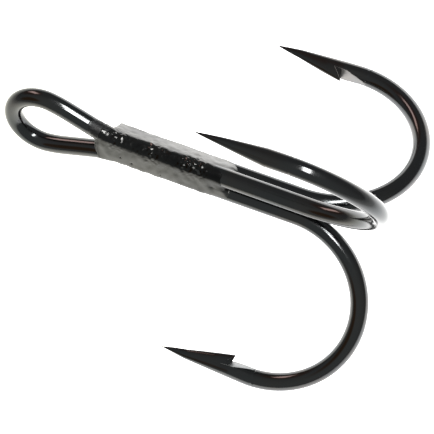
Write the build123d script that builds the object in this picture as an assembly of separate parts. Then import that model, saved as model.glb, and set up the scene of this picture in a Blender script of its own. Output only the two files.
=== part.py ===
from build123d import *
import os
from math import cos, radians, sin, sqrt

# A treble fishing hook, about size 1/0 in strong wire, lying on a table.
#
# One steel wire is bent into a double hook, with a long teardrop eye in the middle of the wire.
# A second wire, a single hook with a plain cut shank, lies in the groove between its two
# shanks, and braze alloy runs round and between the three shanks and joins them. The three
# round bends stand 120 degrees apart, and each ends in a ground point with a barb on its inner
# side.
#
# The wires are drawn in the hook's own frame: X along the shank from the eye's throat, where
# the two legs of the eye meet, towards the bends, and Z along the bend of hook A. The whole
# hook is then laid down: it lies on the points of hooks B and C, with hook A upright.

# ---- driving dimensions, in millimetres and degrees ----
WIRE_D = 1.5                    # hook wire
WIRE_GAP = 0.04                 # capillary gap between neighbouring shanks, full of braze
SHANK_A = 15.05                 # throat of the eye to the start of hook A's bend
SHANK_B = 14.55
SHANK_C = 14.45
SINGLE_START = -1.0             # throat to the cut end of the single hook's shank
SHANK_SET = 3.3                 # the shanks lie this far round from their own bends

BEND_R = 7.05                   # centreline radius of the round bends
BEND_TURN = 183.5               # a little past half a turn, so the points stand in
LEG = 1.2                       # straight wire between the bend and the barb

EYE_START = 0.3                 # throat to where the eye's legs start to swing out
THROAT_R = 8.5                  # centreline radius where a leg swings out of the shank
EYE_TAPER = 20.5                # each leg of the eye to the shank's axis
SHOULDER_R = 9.0                # centreline radius between a leg and the eye's round end
SHOULDER_TURN = 9.5
EYE_R = 2.6                     # centreline radius of the eye's round end

POINT = 5.85                    # barb to tip
RIDGE = 1.24                    # barb's tip above the wire's centreline
TIP_SIZE = 0.035                # rounding at the very tip, as a share of the barb's section
TIP_LIFT = 0.18                 # the tip stands in from the outer line of the point by this
TIP_FULLNESS = 0.85             # 1 is a straight-sided point, less is a fuller one
POINT_STATIONS = (0, 0.35, 0.65, 0.85, 0.95, 1)  # sections of the point, as shares of its length
LIFT_FROM = 0.65                # the share of the point's length where the tip starts to lift

NOTCH_BACK = 0.8                # the barb overhangs its root by this much
NOTCH_DEPTH = 0.42              # depth of the root in the wire
NOTCH_LENGTH = 2.9              # root to where the flat behind the barb has run out of the wire
NOTCH_CLEAR = 0.075             # the flat ends this far above the straight wire, clear of the bend

BRAZE_START = -2.0              # the braze fills the crotch of the eye from here
BRAZE_END = 8.6                 # and ends here, well short of the bends
BRAZE_SKIN = 0.05               # thickness of the braze on the wires' crowns

LIE_PITCH = 5.1                 # the eye end hangs this far below level as the hook lies

# ---- worked out from them ----
WIRE_R = WIRE_D / 2
PITCH = WIRE_D + WIRE_GAP       # between the centrelines of two neighbouring shanks
SHANK_OFFSET = PITCH / sqrt(3)  # each shank's centreline to the hook's axis

# how far from the eye's axis a leg's straight part starts and ends
EYE_END_TURN = EYE_TAPER - SHOULDER_TURN
LEG_IN = PITCH / 2 + THROAT_R * (1 - cos(radians(EYE_TAPER)))
LEG_OUT = EYE_R * cos(radians(EYE_END_TURN)) - SHOULDER_R * (
    cos(radians(EYE_END_TURN)) - cos(radians(EYE_TAPER))
)
EYE_LEG = (LEG_OUT - LEG_IN) / sin(radians(EYE_TAPER))

ANGLE_A = 0                     # each bend round the shank, from +Z towards -Y
ANGLE_B = 120
ANGLE_C = -120

SHANKWARD = Vector(1, 0, 0)


def outward(angle):
    """The direction at that angle round the shank, away from its axis."""
    return Vector(0, -sin(radians(angle)), cos(radians(angle)))


def shank_centre(angle):
    """Where the shank of the hook at that angle crosses the throat."""
    return outward(angle + SHANK_SET) * SHANK_OFFSET


class Track:
    """A smooth run of straight lines and arcs on a plane, drawn from a start point."""

    def __init__(self, plane, start, heading):
        self.plane = plane
        self.here = Vector(*start)
        self.heading = heading
        self.edges = []

    def _direction(self, heading):
        return Vector(cos(radians(heading)), sin(radians(heading)))

    def _world(self, point):
        return self.plane.from_local_coords(point)

    def forward(self, length):
        end = self.here + self._direction(self.heading) * length
        self.edges.append(Edge.make_line(self._world(self.here), self._world(end)))
        self.here = end
        return self

    def turn(self, radius, angle):
        """Turns left for a positive angle and right for a negative one."""
        side = 90 if angle > 0 else -90
        centre = self.here + self._direction(self.heading + side) * radius
        middle = centre - self._direction(self.heading + angle / 2 + side) * radius
        end = centre - self._direction(self.heading + angle + side) * radius
        self.edges.append(
            Edge.make_three_point_arc(self._world(self.here), self._world(middle), self._world(end))
        )
        self.here = end
        self.heading += angle
        return self

    def end_plane(self):
        """X along the track at its end, Y to its left."""
        ahead = self._world(self.here + self._direction(self.heading)) - self._world(self.here)
        return Plane(origin=self._world(self.here), x_dir=ahead, z_dir=self.plane.z_dir)


def hook_track(angle, shank, start):
    """The centreline of one shank and its bend, ending at the barb. Left is its inner side."""
    side = SHANKWARD.cross(outward(angle))
    plane = Plane(origin=shank_centre(angle), x_dir=SHANKWARD, z_dir=side)
    return Track(plane, (start, 0), 0).forward(shank - start).turn(BEND_R, BEND_TURN).forward(LEG)


def eye_track():
    """The centreline of the eye, from hook A's shank round to hook B's."""
    a, b = shank_centre(ANGLE_A), shank_centre(ANGLE_B)
    side = SHANKWARD.cross(a - b)
    plane = Plane(origin=(a + b) / 2, x_dir=SHANKWARD, z_dir=side)
    track = Track(plane, (EYE_START, PITCH / 2), 180).turn(THROAT_R, -EYE_TAPER).forward(EYE_LEG)
    track.turn(SHOULDER_R, SHOULDER_TURN)
    track.turn(EYE_R, 180 + 2 * EYE_END_TURN)
    track.turn(SHOULDER_R, SHOULDER_TURN)
    return track.forward(EYE_LEG).turn(THROAT_R, -EYE_TAPER)


def wire_along(edges):
    """Round wire swept along a run of edges."""
    path = Wire(edges)
    section = Plane(origin=path @ 0, z_dir=path % 0) * Circle(WIRE_R)
    return sweep(section, path=path)


def point_section(size):
    """Across the point: round as the wire is on its outer side, drawn up to a ridge on +Y."""
    half = WIRE_R * size
    outer = CenterArc((0, 0), half, 180, 180)
    inner = EllipticalCenterArc((0, 0), half, RIDGE * size, 0, arc_size=180)
    return make_face([outer, inner])


def point_blank():
    """The ground point before the barb is cut, along X from the barb to the tip."""
    sections = []
    for share in POINT_STATIONS:
        size = max((1 - share) ** TIP_FULLNESS, TIP_SIZE)
        lift = TIP_LIFT * max(0, share - LIFT_FROM) / (1 - LIFT_FROM)
        origin = (share * POINT, lift - WIRE_R + WIRE_R * size, 0)
        place = Plane(origin=origin, x_dir=(0, 0, -1), z_dir=SHANKWARD)
        sections.append(place * point_section(size))
    return loft(sections)


def notch():
    """The cut behind the barb: its slanted underside and the long flat scooped in the wire."""
    runout = NOTCH_BACK - NOTCH_LENGTH
    top = 2 * RIDGE
    outline = Polyline(
        (0, RIDGE),
        (NOTCH_BACK, WIRE_R - NOTCH_DEPTH),
        (runout, WIRE_R + NOTCH_CLEAR),
        (runout, top),
        (0, top),
        close=True,
    )
    return extrude(make_face(outline), amount=WIRE_D, both=True)


def pointed(wire, track):
    """A swept wire with a barbed point on the end of that track."""
    place = track.end_plane().location
    return wire + place * point_blank() - place * notch()


def double_hook_wire():
    a, b = hook_track(ANGLE_A, SHANK_A, EYE_START), hook_track(ANGLE_B, SHANK_B, EYE_START)
    wire = wire_along(a.edges + eye_track().edges + b.edges)
    return pointed(pointed(wire, a), b)


def single_hook_wire():
    track = hook_track(ANGLE_C, SHANK_C, SINGLE_START)
    return pointed(wire_along(track.edges), track)


def braze_sleeve(angles, start, end):
    """A rounded prism round the shanks of the hooks at those angles."""
    centres = [shank_centre(angle) for angle in angles]
    across = Plane(origin=(start, 0, 0), x_dir=(0, 1, 0), z_dir=SHANKWARD)
    rounds = [(Pos(c.Y, c.Z) * Circle(WIRE_R + BRAZE_SKIN)).edge() for c in centres]
    return extrude(across * make_hull(rounds), end - start)


def braze():
    """The braze alloy before the wires leave it: two shanks at the throat, then all three."""
    throat = braze_sleeve((ANGLE_A, ANGLE_B), BRAZE_START, SINGLE_START)
    return throat + braze_sleeve((ANGLE_A, ANGLE_B, ANGLE_C), SINGLE_START, BRAZE_END)


def main():
    os.makedirs("parts", exist_ok=True)
    double, single = double_hook_wire(), single_hook_wire()
    nodes = {
        "double_hook_wire": double,
        "single_hook_wire": single,
        "braze": braze() - double - single,
    }
    laid = {name: Rotation(0, -LIE_PITCH, 0) * shape for name, shape in nodes.items()}
    box = Compound(children=[Compound(shape.solids()) for shape in laid.values()]).bounding_box()
    to_origin = Pos(-box.center().X, -box.center().Y, -box.min.Z)
    for name, shape in laid.items():
        placed = Compound(children=(to_origin * shape).solids())
        print(name, len(placed.solids()), round(placed.volume, 2), placed.is_valid)
        export_step(placed, f"parts/{name}.step")


main()
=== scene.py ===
import math

import bpy
import numpy as np
from mathutils import Matrix, Vector


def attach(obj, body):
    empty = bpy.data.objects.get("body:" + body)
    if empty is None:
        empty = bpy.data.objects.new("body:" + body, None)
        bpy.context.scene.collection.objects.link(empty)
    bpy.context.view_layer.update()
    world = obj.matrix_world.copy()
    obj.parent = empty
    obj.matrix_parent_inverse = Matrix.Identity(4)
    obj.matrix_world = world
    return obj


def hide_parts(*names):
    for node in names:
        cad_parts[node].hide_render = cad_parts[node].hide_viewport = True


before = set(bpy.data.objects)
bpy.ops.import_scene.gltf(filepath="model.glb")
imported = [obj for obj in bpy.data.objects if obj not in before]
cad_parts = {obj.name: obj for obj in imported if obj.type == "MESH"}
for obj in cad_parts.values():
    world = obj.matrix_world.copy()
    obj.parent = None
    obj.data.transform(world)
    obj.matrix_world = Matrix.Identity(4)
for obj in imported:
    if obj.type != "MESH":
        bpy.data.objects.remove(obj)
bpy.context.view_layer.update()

# A treble fishing hook in black nickel, lying on a white table. Lengths are in metres. Named
# angles are in degrees, and phi, the angle round a section, is in radians. The wires are drawn
# in the hook's own frame, X along the shank from the eye's throat and Z along the bend of hook
# A, and then laid down as the CAD model is.

MM = 0.001

# ---- the wires, as in the CAD model ----
WIRE_R = 0.75 * MM
PITCH = 1.54 * MM                # between the centrelines of neighbouring shanks
SHANK_OFFSET = PITCH / math.sqrt(3)
SHANK_SET = 3.3                  # the shanks lie this far round from their bends
ANGLES = {"a": 0, "b": 120, "c": -120}
SHANKS = {"a": 15.05 * MM, "b": 14.55 * MM, "c": 14.45 * MM}
SINGLE_START = -1.0 * MM
BEND_R = 7.05 * MM
BEND_TURN = 183.5
LEG = 1.2 * MM
EYE_START = 0.3 * MM
THROAT_R = 8.5 * MM
EYE_TAPER = 20.5
SHOULDER_R = 9.0 * MM
SHOULDER_TURN = 9.5
EYE_R = 2.6 * MM
LIE_PITCH = 5.1

# ---- the ground points, X from the barb to the tip and Y to the inner side ----
POINT = 5.85 * MM
RIDGE = 1.24 * MM                # barb's tip above the wire's centreline
TIP_SIZE = 0.035
TIP_LIFT = 0.18 * MM
TIP_FULLNESS = 0.85
LIFT_FROM = 0.65
ROOT = (0.8 * MM, 0.33 * MM)     # the barb's root
FLAT_END = (-2.1 * MM, 0.825 * MM)  # the flat behind the barb slopes up to here
RUNOUT = -1.95 * MM              # and has left the wire by here
SHOULDER = 0.7 * MM              # the wire swells towards the barb over this length
SPUR_POWER, RIDGE_POWER = 6, 2   # how narrow the ridge is at the barb, and further along
UNSLANT = 1.6 * MM               # sections stand square again this far past the barb
ROOT_RUN = 0.1 * MM              # up the barb's underside, a section's low side moves on by this
CUT_TOP = 0.995                  # a cut's rim ends at this share of half a turn, short of the top
HALVINGS = 40                    # to find where a cut meets the wire

# ---- the single wire's cut end: places along it and its size there, up to full size ----
CUT_RIM = ((0, 0.86), (0.04 * MM, 0.95))
CUT_RIM_LENGTH = 0.1 * MM

# ---- mesh density ----
AROUND = 72                      # vertices round a wire
CUT_SHARE = 16                   # of them, those across the flat behind the barb
PLAIN_CORNER = math.pi * (1 - CUT_SHARE / AROUND)  # a section's corner when it has no cut
STEP = 0.14 * MM                 # between rings on curves
LONG_STEP = 0.3 * MM             # between rings on straight runs
FLAT_RINGS, BARB_RINGS, SQUARING_RINGS, TIP_RINGS = 26, 13, 14, 34
CLOSING = 1.35                   # the tip's rings lie closer towards its end, 1 is evenly


def unit(vector):
    return vector / np.linalg.norm(vector)


SHANKWARD = np.array([1.0, 0, 0])


def outward(angle):
    """The direction at that angle round the shank, away from its axis."""
    return np.array([0, -math.sin(math.radians(angle)), math.cos(math.radians(angle))])


def shank_centre(angle):
    return outward(angle + SHANK_SET) * SHANK_OFFSET


def smooth(value, low, high):
    """0 below low, 1 above high and an easy S between them."""
    t = np.clip((value - low) / (high - low), 0, 1)
    return t * t * (3 - 2 * t)


def ripple(points, length, seed):
    """Smooth noise of that wavelength at each point, about -2 to 2, the same on every run."""
    waves = 40
    random = np.random.default_rng(seed)
    direction = random.normal(size=(waves, 3))
    direction /= np.linalg.norm(direction, axis=1)[:, None]
    number = 2 * math.pi / (length * random.uniform(0.6, 1.6, waves))
    phase = random.uniform(0, 2 * math.pi, waves)
    swell = np.cos(points @ (direction * number[:, None]).T + phase)
    return swell.sum(axis=-1) / math.sqrt(waves / 2)


class Track:
    """Stations along a smooth run of lines and arcs on a plane: place, heading and left side."""

    def __init__(self, origin, ex, ey, start, heading):
        self.origin, self.ex, self.ey = origin, ex, ey
        self.here = np.array(start, float)
        self.heading = heading
        self.places, self.ahead, self.left = [], [], []

    def _add(self, place, heading):
        c, s = math.cos(math.radians(heading)), math.sin(math.radians(heading))
        self.places.append(self.origin + place[0] * self.ex + place[1] * self.ey)
        self.ahead.append(c * self.ex + s * self.ey)
        self.left.append(-s * self.ex + c * self.ey)

    def forward(self, length):
        c, s = math.cos(math.radians(self.heading)), math.sin(math.radians(self.heading))
        start = self.here.copy()
        steps = max(1, round(length / LONG_STEP))
        for i in range(steps):
            self._add(start + np.array([c, s]) * length * i / steps, self.heading)
        self.here = start + np.array([c, s]) * length
        return self

    def turn(self, radius, angle):
        side = 1 if angle > 0 else -1
        h = math.radians(self.heading)
        centre = self.here + side * radius * np.array([-math.sin(h), math.cos(h)])
        steps = max(2, round(radius * math.radians(abs(angle)) / STEP))
        for i in range(steps + 1):
            heading = self.heading + angle * i / steps
            h = math.radians(heading)
            place = centre - side * radius * np.array([-math.sin(h), math.cos(h)])
            if i < steps:
                self._add(place, heading)
        self.here = place
        self.heading += angle
        return self

    def close(self):
        """Adds the station at the end of the run."""
        self._add(self.here, self.heading)
        return self

    def arrays(self):
        return np.array(self.places), np.array(self.ahead), np.array(self.left)


def hook_track(name, start):
    """The shank and bend up to where the flat behind the barb runs out."""
    flat_turn = math.degrees((-RUNOUT - LEG) / BEND_R)
    track = Track(shank_centre(ANGLES[name]), SHANKWARD, outward(ANGLES[name]), (start, 0), 0)
    return track.forward(SHANKS[name] - start).turn(BEND_R, BEND_TURN - flat_turn).close()


def eye_track():
    a, b = shank_centre(ANGLES["a"]), shank_centre(ANGLES["b"])
    taper, end_turn = math.radians(EYE_TAPER), EYE_TAPER - SHOULDER_TURN
    end_cos = math.cos(math.radians(end_turn))
    leg_in = PITCH / 2 + THROAT_R * (1 - math.cos(taper))
    leg_out = EYE_R * end_cos - SHOULDER_R * (end_cos - math.cos(taper))
    leg = (leg_out - leg_in) / math.sin(taper)
    track = Track((a + b) / 2, SHANKWARD, unit(a - b), (EYE_START, PITCH / 2), 180)
    track.turn(THROAT_R, -EYE_TAPER).forward(leg).turn(SHOULDER_R, SHOULDER_TURN)
    track.turn(EYE_R, 180 + 2 * end_turn)
    return track.turn(SHOULDER_R, SHOULDER_TURN).forward(leg).turn(THROAT_R, -EYE_TAPER)


# ---- the barbed point ----
def blank(x, phi):
    """The wire's end before the barb is cut: its surface at that distance past the barb and
    that angle from its outer side, as x, y and z. Before the leg it follows the bend."""
    size = np.where(x > 0, np.maximum(1 - x / POINT, 0) ** TIP_FULLNESS, 1.0)
    size = np.maximum(size, TIP_SIZE)
    share = np.clip(x / POINT, 0, 1)
    lift = TIP_LIFT * np.maximum(0, share - LIFT_FROM) / (1 - LIFT_FROM)
    half = WIRE_R * size
    # the ridge is a narrow spur at the barb and broadens along the point
    power = SPUR_POWER + (RIDGE_POWER - SPUR_POWER) * smooth(x, 0, UNSLANT)
    height = (RIDGE - WIRE_R) * size * smooth(x, -SHOULDER, 0)
    ridge = height * np.maximum(-np.cos(phi), 0) ** power
    across = lift - WIRE_R + half - half * np.cos(phi) + ridge
    bent = np.maximum(-LEG - x, 0) / BEND_R
    along = np.where(x < -LEG, -LEG - (BEND_R - across) * np.sin(bent), x)
    inward = BEND_R - (BEND_R - across) * np.cos(bent)
    return along, inward, half * np.sin(phi)


def below(x, phi, line):
    """Whether the blank's surface there is under the line through two points on its plane."""
    (x0, y0), (x1, y1) = line
    along, inward, _ = blank(np.array(x), np.array(phi))
    return inward < y0 + (along - x0) * (y1 - y0) / (x1 - x0)


def corner_angle(x, line):
    """The angle from the outer side at which a square section's rim meets the line."""
    low, high = math.pi / 2, math.pi * CUT_TOP
    for _ in range(HALVINGS):
        mid = (low + high) / 2
        if below(x, mid, line):
            low = mid
        else:
            high = mid
    return low


def section(bottom_x, top_x, corner, flat):
    """One ring of the point. Up to the corner angle it lies on the blank; past it, across the
    cut if flat is true, and on over the blank if not. Its last column marks the cut."""
    half = (AROUND - CUT_SHARE) // 2
    up = np.linspace(0, 1, half + 1)
    rim_x = bottom_x + (top_x - bottom_x) * (1 - np.cos(up * math.pi)) / 2
    rim = np.stack(blank(rim_x, up * corner), 1)
    across = np.linspace(0, 1, CUT_SHARE + 1)[1:-1]
    if flat:
        over = np.repeat(rim[-1:], len(across), axis=0)
        over[:, 2] *= 1 - 2 * across
    else:
        phi = corner + (2 * math.pi - 2 * corner) * across
        over = np.stack(blank(np.full(len(across), top_x), phi), 1)
    ring = np.vstack([rim, over, rim[:0:-1] * [1, 1, -1]])
    cut = np.zeros((len(ring), 1))
    if flat:
        cut[half:half + CUT_SHARE + 1] = 1
    return np.hstack([ring, cut])


def placed(ring, origin, ex, ey, ez):
    """A ring's x, y and z laid along those directions from the origin."""
    return np.hstack([origin + ring[:, :3] @ np.array([ex, ey, ez]), ring[:, 3:]])


def point_rings():
    """Rings of the point from where the flat runs out to the tip: along the flat, up the
    barb's underside, back to square sections, and on to the tip, closer towards it."""
    rings = []
    for x in np.linspace(RUNOUT, ROOT[0], FLAT_RINGS):
        rings.append(section(x, x, corner_angle(x, (FLAT_END, ROOT)), True))
    barb_height = RIDGE * 0.9999  # under the ridge, so that the cut still meets the wire
    for u in np.linspace(0, 1, BARB_RINGS)[1:]:
        x, y = ROOT[0] * (1 - u), ROOT[1] + (barb_height - ROOT[1]) * u
        level = ((x - MM, y), (x + MM, y))
        rings.append(section(ROOT[0] + ROOT_RUN * u, x, corner_angle(x, level), True))
    start = ROOT[0] + ROOT_RUN
    for u in np.linspace(0, 1, SQUARING_RINGS)[1:]:
        corner = math.pi * CUT_TOP + (PLAIN_CORNER - math.pi * CUT_TOP) * u
        rings.append(section(start + (UNSLANT - start) * u, UNSLANT * u, corner, False))
    for u in np.linspace(0, 1, TIP_RINGS)[1:]:
        x = UNSLANT + (POINT - UNSLANT) * (1 - (1 - u) ** CLOSING)
        rings.append(section(x, x, PLAIN_CORNER, False))
    return rings


def wire_ring(place, ahead, reference, spread=1.0):
    """A round ring of spread times the wire's radius. Its vertices are spaced as those of a
    point's plain section are."""
    ring = section(0, 0, PLAIN_CORNER, False)
    ring[:, 0] = 0
    ring[:, 1:3] *= spread * WIRE_R / np.linalg.norm(ring[:, 1:3], axis=1)[:, None]
    return placed(ring, place, ahead, reference, np.cross(ahead, reference))


def bend_rings(name, start, reference=None):
    """Rings of one hook from its shank to its tip. Its vertices turn from the reference
    direction at the start to the hook's inner side by the end of the shank."""
    places, ahead, left = hook_track(name, start).arrays()
    spin = 0.0
    if reference is not None:
        side = np.cross(ahead[0], left[0])
        spin = math.atan2(np.dot(reference, side), np.dot(reference, left[0]))
    rings = []
    for place, direction, inner in zip(places, ahead, left):
        to_go = max(0.0, 1 - (place[0] - start) / (SHANKS[name] - start))
        on_shank = direction[0] > 0.999999
        turn = spin * to_go if on_shank else 0.0
        side = np.cross(direction, inner)
        rings.append(wire_ring(place, direction, math.cos(turn) * inner + math.sin(turn) * side))
    turn = math.radians(BEND_TURN)
    ahead = math.cos(turn) * SHANKWARD + math.sin(turn) * outward(ANGLES[name])
    inner = -math.sin(turn) * SHANKWARD + math.cos(turn) * outward(ANGLES[name])
    centre = shank_centre(ANGLES[name]) + SHANKS[name] * SHANKWARD + BEND_R * outward(ANGLES[name])
    barb = centre - BEND_R * inner + LEG * ahead
    side = np.cross(ahead, inner)
    return rings[:-1] + [placed(ring, barb, ahead, inner, side) for ring in point_rings()]


def mirrored(rings):
    """The same rings in reverse order, each wound the other way."""
    return [np.roll(ring[::-1], 1, axis=0) for ring in reversed(rings)]


def skin(rings):
    """A closed mesh through the rings, with a fan at each end. With it come its coordinates
    along and round the wire, by face corner."""
    count = len(rings[0])
    middles = np.array([ring.mean(0)[:3] for ring in rings])
    steps = np.linalg.norm(np.diff(middles, axis=0), axis=1)
    along = np.concatenate([[0], np.cumsum(steps)])
    verts = np.vstack(rings + [np.array([rings[0].mean(0), rings[-1].mean(0)])])
    faces, uvs = [], []
    for i in range(len(rings) - 1):
        near, far = i * count, (i + 1) * count
        for k in range(count):
            n = (k + 1) % count
            faces.append((near + k, near + n, far + n, far + k))
            uvs.append([(along[i], k / count), (along[i], (k + 1) / count),
                        (along[i + 1], (k + 1) / count), (along[i + 1], k / count)])
    first, last = len(verts) - 2, len(verts) - 1
    base = (len(rings) - 1) * count
    for k in range(count):
        n = (k + 1) % count
        faces.append((first, n, k))
        uvs.append([(along[0], k / count)] * 3)
        faces.append((last, base + k, base + n))
        uvs.append([(along[-1], k / count)] * 3)
    return verts[:, :3], verts[:, 3], faces, uvs


def volume(verts, faces):
    """The volume that the faces enclose, negative if they face inwards."""
    total = 0.0
    for face in faces:
        a = verts[face[0]]
        for i in range(1, len(face) - 1):
            total += np.dot(a, np.cross(verts[face[i]], verts[face[i + 1]]))
    return total / 6


def add_mesh(name, verts, marks, faces, uvs, sharp):
    """A mesh object with its faces outwards, smooth except along edges sharper than that."""
    if volume(verts, faces) < 0:
        faces = [tuple(reversed(face)) for face in faces]
        uvs = [list(reversed(corners)) for corners in uvs]
    mesh = bpy.data.meshes.new(name)
    mesh.from_pydata([tuple(v) for v in verts], [], faces)
    mesh.attributes.new("mark", "FLOAT", "POINT").data.foreach_set("value", marks)
    layer = mesh.uv_layers.new(name="drawn")
    layer.data.foreach_set("uv", np.array([uv for corners in uvs for uv in corners]).ravel())
    mesh.polygons.foreach_set("use_smooth", [True] * len(mesh.polygons))
    mesh.set_sharp_from_angle(angle=math.radians(sharp))
    mesh.update()
    piece = bpy.data.objects.new(name, mesh)
    bpy.context.scene.collection.objects.link(piece)
    return piece


def double_hook():
    """Hook A from its tip, round the eye and on to hook B's tip."""
    eye_places, eye_ahead, _ = eye_track().arrays()
    across = unit(np.cross(SHANKWARD, shank_centre(ANGLES["a"]) - shank_centre(ANGLES["b"])))
    a = bend_rings("a", EYE_START, across)
    b = bend_rings("b", EYE_START, across)
    eye = [wire_ring(p, t, across) for p, t in zip(eye_places, eye_ahead)]
    return skin(mirrored(a) + eye[1:] + b)


def single_hook():
    """Hook C from its cut end, whose rim is a little rounded, to its tip."""
    rings = bend_rings("c", SINGLE_START)
    place = shank_centre(ANGLES["c"]) + SHANKWARD * SINGLE_START
    ends = [wire_ring(place + SHANKWARD * ahead, SHANKWARD, outward(ANGLES["c"]), spread)
            for ahead, spread in CUT_RIM]
    first = rings[0] + np.append(SHANKWARD * CUT_RIM_LENGTH, 0)
    return skin(ends + [first] + rings[1:])


# ---- the braze, a sleeve of alloy that fills the grooves between the shanks ----
BRAZE_RINGS = 320
BRAZE_AROUND = 216
THROAT_END = -2.4 * MM           # lip of the alloy in the crotch of the eye
LIP_SHORT = 0.4 * MM             # how far short of that it stops round the legs
LIP_WANDER = 0.09 * MM           # and how unevenly
LIP_RUN = 1.3 * MM               # the unevenness has gone by this far along
LIP_DROP, LIP_ROUND = 0.12 * MM, 0.2 * MM  # the lip dives under the wires' surface over this
RIM_RUN = 0.75 * MM              # the lip is crusted up to here
BEAD_START = -1.5 * MM           # the bead over the single wire's cut end starts here
BEAD_END = -1.05 * MM
FACES = (                        # each groove's angle, and where its filling ends
    (60, 8.3 * MM),
    (180, 8.6 * MM),
    (-60, 8.9 * MM),
)
END_RUN = 0.9 * MM               # over which a groove's filling tapers away
SLEEVE_END = 10.4 * MM
SKIN = 0.03 * MM                 # on the wires' crowns
SKIN_END, SKIN_WANDER = 8.4 * MM, 0.4 * MM
SKIN_RUN = 0.8 * MM              # it thins over this length, and then sinks under the surface
CROWN_ANGLE, CROWN_WIDTH = 4, 38  # the crusted crown, round the sleeve
CRUST_END = (8.0 * MM, 9.2 * MM)  # and where the crust fades along it
PITS = ((0.95, 86, 0.11), (0.0, 74, 0.08), (3.4, 92, 0.07), (4.9, -78, 0.08))  # mm, angle, mm
PIT_DEPTH = 0.05 * MM
SLEEVE_R = 1.5 * MM              # about the sleeve's radius, to place the pits round it
ROUGH_SPOTS = (                  # places along the crown, their spread and their height, in mm
    (-0.8, 0.35, 1.0), (-0.1, 0.3, 0.9), (2.2, 0.4, 1.2), (3.0, 0.5, 0.7),
    (5.1, 0.4, 1.0), (5.9, 0.45, 1.2), (6.7, 0.35, 0.8),
)
ROUGH_LEAST = 0.35               # roughness of the crown between those places
ROUGH_END = (6.6 * MM, 7.4 * MM)
BRAZE_CAP = (0.35, 0.6, 0.8, 0.93)  # sizes of the rings that close the lip
CAP_DEPTH = 0.35 * MM
RAY_START = 3.5 * MM             # clear of the sleeve
MARCHES, STRIDE = 90, 0.9        # steps in, each this share of the distance still to go
FAR_AWAY = 1.0                   # instead of the distance to the single wire, before it starts
TINY = 1e-18                     # keeps a division whole where two corners are one place


def leg_shift(x):
    """How far each leg of the eye has swung out of line at that x."""
    taper = math.radians(EYE_TAPER)
    reach = THROAT_R * math.sin(taper)
    back = np.clip(EYE_START - x, 0, None)
    arc = THROAT_R - np.sqrt(THROAT_R ** 2 - np.minimum(back, reach) ** 2)
    return arc + np.maximum(back - reach, 0) * math.tan(taper)


def to_segment(p, a, b):
    """Distance from points to the segments a-b, all in the YZ plane."""
    ab = b - a
    t = np.clip(((p - a) * ab).sum(-1) / ((ab * ab).sum(-1) + TINY), 0, 1)
    return np.linalg.norm(p - a - t[..., None] * ab, axis=-1)


def to_triangle(p, a, b, c):
    """Signed distance from points to the triangles a-b-c."""
    edge = np.minimum(np.minimum(to_segment(p, a, b), to_segment(p, b, c)), to_segment(p, c, a))
    inside = np.ones(edge.shape, bool)
    turn = np.sign((b - a)[..., 0] * (c - a)[..., 1] - (b - a)[..., 1] * (c - a)[..., 0])
    for u, v in ((a, b), (b, c), (c, a)):
        side = (v - u)[..., 0] * (p - u)[..., 1] - (v - u)[..., 1] * (p - u)[..., 0]
        inside &= side * turn > 0
    return np.where(inside, -edge, edge)


def off_angle(phi, angle):
    """How far round from that angle each phi is, in degrees from -180 to 180."""
    return (np.degrees(phi) - angle + 180) % 360 - 180


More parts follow.
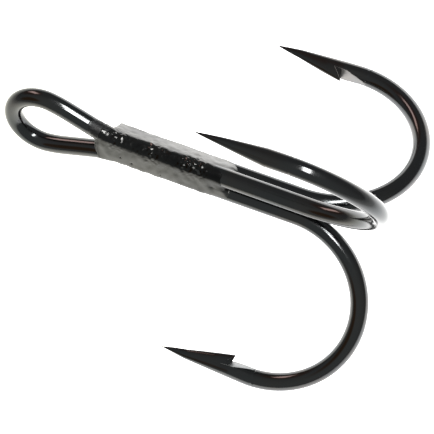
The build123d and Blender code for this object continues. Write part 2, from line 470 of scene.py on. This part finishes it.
def braze_mesh():
    """The sleeve: from the hook's axis, rays run in every direction at each place along it,
    and each is shortened until it ends on the alloy's surface."""
    row, phi = np.meshgrid(
        np.linspace(THROAT_END, SLEEVE_END, BRAZE_RINGS),
        np.linspace(0, 2 * math.pi, BRAZE_AROUND, endpoint=False),
        indexing="ij",
    )
    ray = np.stack([-np.sin(phi), np.cos(phi)], -1)
    # the alloy reaches furthest into the crotch, and stops short round the outside of the legs
    crotch = np.abs(np.cos(phi - math.radians(60 + SHANK_SET)))
    wander = ripple(np.insert(ray * MM, 0, 0, axis=-1), 1.3 * MM, 21)
    short = LIP_SHORT * (1 - crotch ** 6) + LIP_WANDER * wander
    x = row + short * (1 - smooth(row, THROAT_END, THROAT_END + LIP_RUN))

    centre = {name: shank_centre(angle)[1:] for name, angle in ANGLES.items()}
    out = unit(centre["a"] - centre["b"])
    shift = leg_shift(x)[..., None]
    a = centre["a"] + out * shift
    b = centre["b"] - out * shift
    middle = (a + b) / 2
    c = middle + (centre["c"] - middle) * smooth(x, BEAD_START, BEAD_END)[..., None]
    # each face's filling: which face a ray leaves through depends on its angle
    uneven = ripple(np.stack([x, phi * MM, 0 * phi], -1), 1.6 * MM, 7)
    fill = np.zeros(phi.shape)
    for angle, face_end in FACES:
        off = off_angle(phi, angle + SHANK_SET)
        bulge = np.cos(np.radians(off * 1.5)) - 0.5
        end = face_end + 0.25 * MM * uneven + 0.5 * MM * bulge
        fill = np.where(np.abs(off) <= 60, 1 - smooth(x, end - END_RUN, end), fill)
    last = SKIN_END + SKIN_WANDER * uneven
    thinned = smooth(x, last - SKIN_RUN, last)
    sunk = smooth(x, last - 0.5 * MM, last + 0.5 * MM)
    cover = SKIN * (1 - thinned - sunk)
    lip = LIP_DROP * (1 - smooth(row, THROAT_END, THROAT_END + LIP_ROUND))
    crown = np.exp(-(off_angle(phi, 0) - CROWN_ANGLE) ** 2 / CROWN_WIDTH ** 2)
    spots = sum(
        high * np.exp(-((x / MM - place) / spread) ** 2) for place, spread, high in ROUGH_SPOTS
    )
    least = ROUGH_LEAST * (1 - smooth(x, *ROUGH_END))
    rough = np.maximum(np.clip(spots, 0, 1.2), least) * crown
    pits = np.zeros(phi.shape)
    for place, angle, spread in PITS:
        off = np.radians(np.degrees(phi) - angle) * SLEEVE_R
        pits += np.exp(-(((x - place * MM) ** 2 + off ** 2) / (spread * MM) ** 2))
    rim = 1 - smooth(row, THROAT_END + LIP_ROUND, THROAT_END + RIM_RUN)
    mark = np.clip(np.maximum(crown * (1 - smooth(x, *CRUST_END)), rim) + pits, 0, 1)

    reach = np.full(phi.shape, RAY_START)
    for _ in range(MARCHES):
        p = ray * reach[..., None]
        to_c = np.where(x >= SINGLE_START, np.linalg.norm(p - c, axis=-1), FAR_AWAY)
        to_ab = np.minimum(np.linalg.norm(p - a, axis=-1), np.linalg.norm(p - b, axis=-1))
        wires = np.minimum(to_ab, to_c) - WIRE_R
        hull = to_triangle(p, a, b, c) - WIRE_R
        reach = reach - STRIDE * (wires + fill * (hull - wires) - cover + lip)
    # the surface is a little uneven, with fine and coarse crust on its crown, and pitted
    at = np.stack([x, ray[..., 0] * reach, ray[..., 1] * reach], -1)
    reach += 0.012 * MM * ripple(at, 0.9 * MM, 3) * smooth(cover, -SKIN, SKIN * 0.5)
    reach += 0.017 * MM * ripple(at, 0.34 * MM, 11) * rough
    reach += 0.035 * MM * np.clip(ripple(at, 0.6 * MM, 5) - 0.8, 0, 2) * rough
    reach -= PIT_DEPTH * pits
    rings = list(np.stack([x, ray[..., 0] * reach, ray[..., 1] * reach, mark], -1))
    hub = rings[0].mean(0)
    cap = []
    for share in BRAZE_CAP:
        ring = hub + (rings[0] - hub) * share
        ring[:, 0] += CAP_DEPTH * (1 - share ** 2)
        cap.append(ring)
    return skin(cap + rings)


def laid(verts):
    """The hook's own frame turned to how the hook lies."""
    turn = np.array(Matrix.Rotation(math.radians(-LIE_PITCH), 3, "Y"))
    return verts @ turn.T


# ---- materials (noise scales are per metre) ----
GROUND_ROUGH, GROUND_PALE = 0.36, 2.2  # what grinding adds to the wire's roughness and tone
FILM_ROUGH, FILM_TONE = 0.34, -0.5  # and what the film of alloy adds
FILM_EDGE = (0.75 * MM, 1.0 * MM)  # the film fades out over these distances from its middle


def new_material(name):
    """A material, its nodes and links, and its shader."""
    material = bpy.data.materials.new(name)
    material.use_nodes = True
    nodes, links = material.node_tree.nodes, material.node_tree.links
    return material, nodes, links, nodes["Principled BSDF"]


def noise_node(nodes, links, coords, scale, detail, rough=0.5):
    node = nodes.new("ShaderNodeTexNoise")
    node.inputs["Scale"].default_value = scale
    node.inputs["Detail"].default_value = detail
    node.inputs["Roughness"].default_value = rough
    links.new(coords, node.inputs["Vector"])
    return node.outputs["Fac"]


def ramp_node(nodes, links, value, stops):
    node = nodes.new("ShaderNodeValToRGB")
    ramp = node.color_ramp
    while len(ramp.elements) < len(stops):
        ramp.elements.new(0.5)
    for element, (place, colour) in zip(ramp.elements, stops):
        element.position = place
        element.color = (*colour, 1)
    links.new(value, node.inputs["Fac"])
    return node.outputs["Color"]


def feed(links, socket, value):
    """Sets the socket to a number, or links it to another node's output."""
    if isinstance(value, (int, float)):
        socket.default_value = value
    else:
        links.new(value, socket)


def range_node(nodes, links, value, low, high, to_low, to_high):
    """The value's place between low and high, between to_low and to_high instead."""
    node = nodes.new("ShaderNodeMapRange")
    limits = {"From Min": low, "From Max": high, "To Min": to_low, "To Max": to_high}
    for socket, limit in limits.items():
        feed(links, node.inputs[socket], limit)
    links.new(value, node.inputs["Value"])
    return node.outputs["Result"]


def maths_node(nodes, links, operation, *values):
    """A maths node fed by numbers and by other nodes."""
    node = nodes.new("ShaderNodeMath")
    node.operation = operation
    for socket, value in zip(node.inputs, values):
        feed(links, socket, value)
    return node.outputs["Value"]


def toned_node(nodes, links, colour, by):
    """A colour multiplied by another, or by a number's output."""
    node = nodes.new("ShaderNodeVectorMath")
    node.operation = "MULTIPLY"
    links.new(colour, node.inputs[0])
    links.new(by, node.inputs[1])
    return node.outputs["Vector"]


def dot_node(nodes, links, coords, direction):
    node = nodes.new("ShaderNodeVectorMath")
    node.operation = "DOT_PRODUCT"
    node.inputs[1].default_value = direction
    links.new(coords, node.inputs[0])
    return node.outputs["Value"]


def mark_node(nodes):
    """The mesh's own mark: 1 where a wire is cut or the braze is crusted."""
    node = nodes.new("ShaderNodeAttribute")
    node.attribute_name = "mark"
    return node.outputs["Fac"]


def distance_node(nodes, links, coords, place):
    node = nodes.new("ShaderNodeVectorMath")
    node.operation = "DISTANCE"
    node.inputs[1].default_value = place
    links.new(coords, node.inputs[0])
    return node.outputs["Value"]


def bump_node(nodes, links, height, strength, distance, normal=None):
    node = nodes.new("ShaderNodeBump")
    if normal:
        links.new(normal, node.inputs["Normal"])
    node.inputs["Strength"].default_value = strength
    node.inputs["Distance"].default_value = distance
    links.new(height, node.inputs["Height"])
    return node.outputs["Normal"]


def black_nickel():
    """Near-black mirror plating with faint drawing lines, warm patches, pits and hazy places.
    The flats cut behind the barbs are rougher and paler, and the film of alloy is rough."""
    material, nodes, links, shader = new_material("black_nickel")
    coords = nodes.new("ShaderNodeTexCoord").outputs["Object"]
    shader.inputs["Metallic"].default_value = 1.0
    tint = noise_node(nodes, links, coords, 240, 3)
    plating = ramp_node(nodes, links, tint, (
        (0.30, (0.051, 0.055, 0.057)),
        (0.52, (0.058, 0.059, 0.060)),
        (0.75, (0.065, 0.060, 0.056)),
    ))
    haze = noise_node(nodes, links, coords, 1100, 5, 0.6)
    polish = range_node(nodes, links, haze, 0.3, 0.75, 0.10, 0.17)
    film = distance_node(nodes, links, coords, FILM_PLACE)
    film = range_node(nodes, links, film, *FILM_EDGE, 1, 0)
    mark = mark_node(nodes)
    ground = maths_node(nodes, links, "MULTIPLY_ADD", mark, GROUND_ROUGH, polish)
    roughness = maths_node(nodes, links, "MULTIPLY_ADD", film, FILM_ROUGH, ground)
    links.new(roughness, shader.inputs["Roughness"])
    pale = maths_node(nodes, links, "MULTIPLY_ADD", mark, GROUND_PALE, 1.0)
    tone = maths_node(nodes, links, "MULTIPLY_ADD", film, FILM_TONE, pale)
    links.new(toned_node(nodes, links, plating, tone), shader.inputs["Base Color"])
    drawn = nodes.new("ShaderNodeMapping")
    drawn.inputs["Scale"].default_value = (300, 40, 1)
    links.new(nodes.new("ShaderNodeUVMap").outputs["UV"], drawn.inputs["Vector"])
    lines = noise_node(nodes, links, drawn.outputs["Vector"], 1, 4, 0.6)
    pits = noise_node(nodes, links, coords, 5200, 3, 0.6)
    pitted = bump_node(nodes, links, pits, 0.1, 0.004 * MM)
    drawn_on = bump_node(nodes, links, lines, 0.2, 0.002 * MM, pitted)
    blobs = noise_node(nodes, links, coords, 3400, 3, 0.6)
    wetted = maths_node(nodes, links, "MULTIPLY", blobs, film)
    filmed = bump_node(nodes, links, wetted, 1.0, 0.06 * MM, drawn_on)
    links.new(filmed, shader.inputs["Normal"])
    return material


def braze_alloy():
    """The plated braze: satin on its flanks, and crusted and glinting on its crown. Its tone
    carries painted light and shade: darker along the crown and the flank towards -Y, palest on the
    flank towards +Y. The crust darkens it further.
    """
    material, nodes, links, shader = new_material("braze_alloy")
    coords = nodes.new("ShaderNodeTexCoord").outputs["Object"]
    shader.inputs["Metallic"].default_value = 1.0
    shader.inputs["Specular Tint"].default_value = (0.75, 0.75, 0.75, 1)
    mottle = noise_node(nodes, links, coords, 420, 4, 0.5)
    satin = ramp_node(nodes, links, mottle, (
        (0.30, (0.105, 0.105, 0.105)),
        (0.50, (0.129, 0.129, 0.127)),
        (0.75, (0.148, 0.147, 0.143)),
    ))
    # painted light and shade: darker along its top and on the flank towards -Y, that flank darker
    # still towards the bends, and palest on the flank towards +Y, as though the light came from
    # that side
    mark = mark_node(nodes)
    across = nodes.new("ShaderNodeSeparateXYZ")
    links.new(coords, across.inputs[0])
    painted_shade_along = range_node(nodes, links, across.outputs["X"], -7 * MM, 2 * MM, 0.46, 0.26)
    near = range_node(nodes, links, across.outputs["Y"], -1.5 * MM, -0.5 * MM, 0.55, painted_shade_along)
    far = range_node(nodes, links, across.outputs["Y"], -0.45 * MM, 1.1 * MM, 0.2, 1.22)
    side = maths_node(nodes, links, "MAXIMUM", near, far)
    crust = range_node(nodes, links, mark, 0.2, 0.9, 1.0, 0.50)
    satin_with_painted_light = toned_node(nodes, links, satin, side)
    links.new(toned_node(nodes, links, satin_with_painted_light, crust), shader.inputs["Base Color"])
    grain = noise_node(nodes, links, coords, 2600, 5, 0.6)
    grit = range_node(nodes, links, grain, 0.3, 0.7, -0.05, 0.05)
    smooth_crown = range_node(nodes, links, mark, 0.1, 0.9, 0.36, 0.18)
    roughness = maths_node(nodes, links, "ADD", grit, smooth_crown)
    links.new(roughness, shader.inputs["Roughness"])
    links.new(bump_node(nodes, links, grain, 0.3, 0.007 * MM), shader.inputs["Normal"])
    return material


def table_top():
    """White board that glows with painted light: brightest to the upper right, as though the light
    fell from that side, warm where that painted light is weakest, and fading into the room."""
    material, nodes, links, shader = new_material("table_top")
    coords = nodes.new("ShaderNodeTexCoord").outputs["Object"]
    # painted light: the board's emission stands in for light falling on it from the upper right
    slope = dot_node(nodes, links, coords, (0.85, 0.53, 0))
    painted_brightening = range_node(nodes, links, slope, -30 * MM, 34 * MM, 1.6, 3.1)
    away = distance_node(nodes, links, coords, Vector((12, 6, 0)) * MM)
    fade = range_node(nodes, links, away, 28 * MM, 72 * MM, 1.0, 0.14)
    painted_glow = maths_node(nodes, links, "MULTIPLY", painted_brightening, fade)
    links.new(painted_glow, shader.inputs["Emission Strength"])
    tone = noise_node(nodes, links, coords, 6, 3)
    board = ramp_node(nodes, links, tone, ((0.3, (0.78, 0.78, 0.77)), (0.7, (0.82, 0.82, 0.81))))
    links.new(board, shader.inputs["Base Color"])
    # painted light: the emission turns warm where the painted light is weakest
    warmth = range_node(nodes, links, slope, -20 * MM, 0.0, 0, 1)
    warm = ramp_node(nodes, links, warmth, ((0.0, (1.0, 1.0, 0.86)), (1.0, (1.0, 1.0, 1.0))))
    links.new(warm, shader.inputs["Emission Color"])
    shader.inputs["Roughness"].default_value = 0.9
    shader.inputs["Specular IOR Level"].default_value = 0.0
    return material


# ---- build ----
double_verts, *double_skin = double_hook()
single_verts, *single_skin = single_hook()
braze_verts, *braze_skin = braze_mesh()
double_verts, single_verts, braze_verts = laid(double_verts), laid(single_verts), laid(braze_verts)
wires = np.vstack([double_verts, single_verts])
low, high = wires.min(0), wires.max(0)
to_origin = -np.array([(low[0] + high[0]) / 2, (low[1] + high[1]) / 2, low[2]])

# alloy has run a little way up hook A's leg of the eye as a thin rough film
FILM_X = -2.05 * MM


def film_place():
    """The middle of the film, on top of the leg."""
    a, b = shank_centre(ANGLES["a"]), shank_centre(ANGLES["b"])
    leg = (a + b) / 2 + unit(a - b) * (PITCH / 2 + leg_shift(FILM_X))
    return to_origin + laid(leg + np.array([FILM_X, 0, WIRE_R]))


FILM_PLACE = film_place()

nickel, alloy = black_nickel(), braze_alloy()
# name, vertices, the rest of the mesh, its sharp edges' angle, CAD node, slot and material
PIECES = (
    ("double_hook", double_verts, double_skin, 20, "double_hook_wire", "plated_wire", nickel),
    ("single_hook", single_verts, single_skin, 20, "single_hook_wire", "plated_wire", nickel),
    ("braze_joint", braze_verts, braze_skin, 60, "braze", "plated_braze", alloy),
)
for name, verts, mesh_skin, sharp, node, slot, material in PIECES:
    piece = add_mesh(name, verts + to_origin, *mesh_skin, sharp)
    piece.data.materials.append(material)
    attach(piece, "root")
    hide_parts(node)

# ---- floor ----
FLOOR_SIZE = 3.0
bpy.ops.mesh.primitive_plane_add(size=FLOOR_SIZE, location=(0, 0, 0))
floor = bpy.context.object
floor.name = "floor"
floor.data.materials.append(table_top())

# ---- light: a softbox almost overhead, a warm card low on one side and a dark room ----
AIM = Vector((2.66, -3.19, 8.63)) * MM  # where the lamps and the camera point


def area_light(name, place, size, long_way, radiance, colour):
    """A rectangular lamp that faces the hook, with its second side along the long way."""
    towards = (place - AIM).normalized()
    side = long_way.cross(towards).normalized()
    light = bpy.data.lights.new(name, "AREA")
    light.shape = "RECTANGLE"
    light.size, light.size_y = size
    light.energy = radiance * math.pi * size[0] * size[1]
    light.color = colour
    lamp = bpy.data.objects.new(name, light)
    turned = Matrix((side, towards.cross(side), towards)).transposed()
    lamp.matrix_world = Matrix.Translation(place) @ turned.to_4x4()
    bpy.context.scene.collection.objects.link(lamp)


area_light(
    "softbox",
    place=Vector((34, 22, 150)) * MM,
    size=(21 * MM, 110 * MM),
    long_way=Vector((0, 1, 0)),
    radiance=35,
    colour=(1.0, 0.99, 0.97),
)
area_light(
    "warm_card",
    place=Vector((-180, 134, 114)) * MM,
    size=(60 * MM, 120 * MM),
    long_way=Vector((0, 0, 1)),
    radiance=4.8,
    colour=(1.0, 0.70, 0.64),
)


def lobe(nodes, links, coords, towards, stops):
    """A ramp over how closely a direction points that way."""
    closeness = dot_node(nodes, links, coords, Vector(towards).normalized())
    return ramp_node(nodes, links, closeness, stops)


def room():
    """A dark room: paler towards the front, with brown things low at the eye's end."""
    world = bpy.data.worlds.new("room")
    world.use_nodes = True
    nodes, links = world.node_tree.nodes, world.node_tree.links
    coords = nodes.new("ShaderNodeTexCoord").outputs["Generated"]
    walls = lobe(nodes, links, coords, (0.1, -0.8, 0.5), (
        (0.0, (0.27, 0.28, 0.284)),
        (0.45, (0.355, 0.372, 0.372)),
        (0.95, (0.425, 0.455, 0.45)),
    ))
    brown = lobe(nodes, links, coords, (-0.62, -0.62, 0.42), (
        (0.93, (1.0, 1.0, 1.0)),
        (0.97, (0.62, 0.36, 0.22)),
    ))
    near_card = lobe(nodes, links, coords, (-0.74, 0.5, 0.42), (
        (0.86, (1.0, 1.0, 1.0)),
        (0.95, (0.85, 0.52, 0.42)),
    ))
    tint = toned_node(nodes, links, brown, near_card)
    links.new(toned_node(nodes, links, walls, tint), nodes["Background"].inputs["Color"])
    bpy.context.scene.world = world


room()

# ---- camera: nearly overhead, with a long lens ----
DISTANCE = 378.3 * MM
AZIMUTH, ELEVATION, ROLL = 28.79, 79.08, 7.97
LENS_MM, SENSOR_MM = 401.8, 36.0


def set_camera():
    data = bpy.data.cameras.new("camera")
    data.lens, data.sensor_width = LENS_MM, SENSOR_MM
    data.clip_start, data.clip_end = 0.01, 10.0
    camera = bpy.data.objects.new("camera", data)
    azimuth, elevation = math.radians(AZIMUTH), math.radians(ELEVATION)
    away = Vector((
        math.sin(azimuth) * math.cos(elevation),
        -math.cos(azimuth) * math.cos(elevation),
        math.sin(elevation),
    ))
    level = (-away).to_track_quat("-Z", "Y").to_matrix()
    turned = level @ Matrix.Rotation(math.radians(-ROLL), 3, "Z")
    camera.matrix_world = Matrix.Translation(AIM + away * DISTANCE) @ turned.to_4x4()
    bpy.context.scene.collection.objects.link(camera)
    bpy.context.scene.camera = camera


set_camera()
bpy.context.scene.view_settings.view_transform = "Standard"
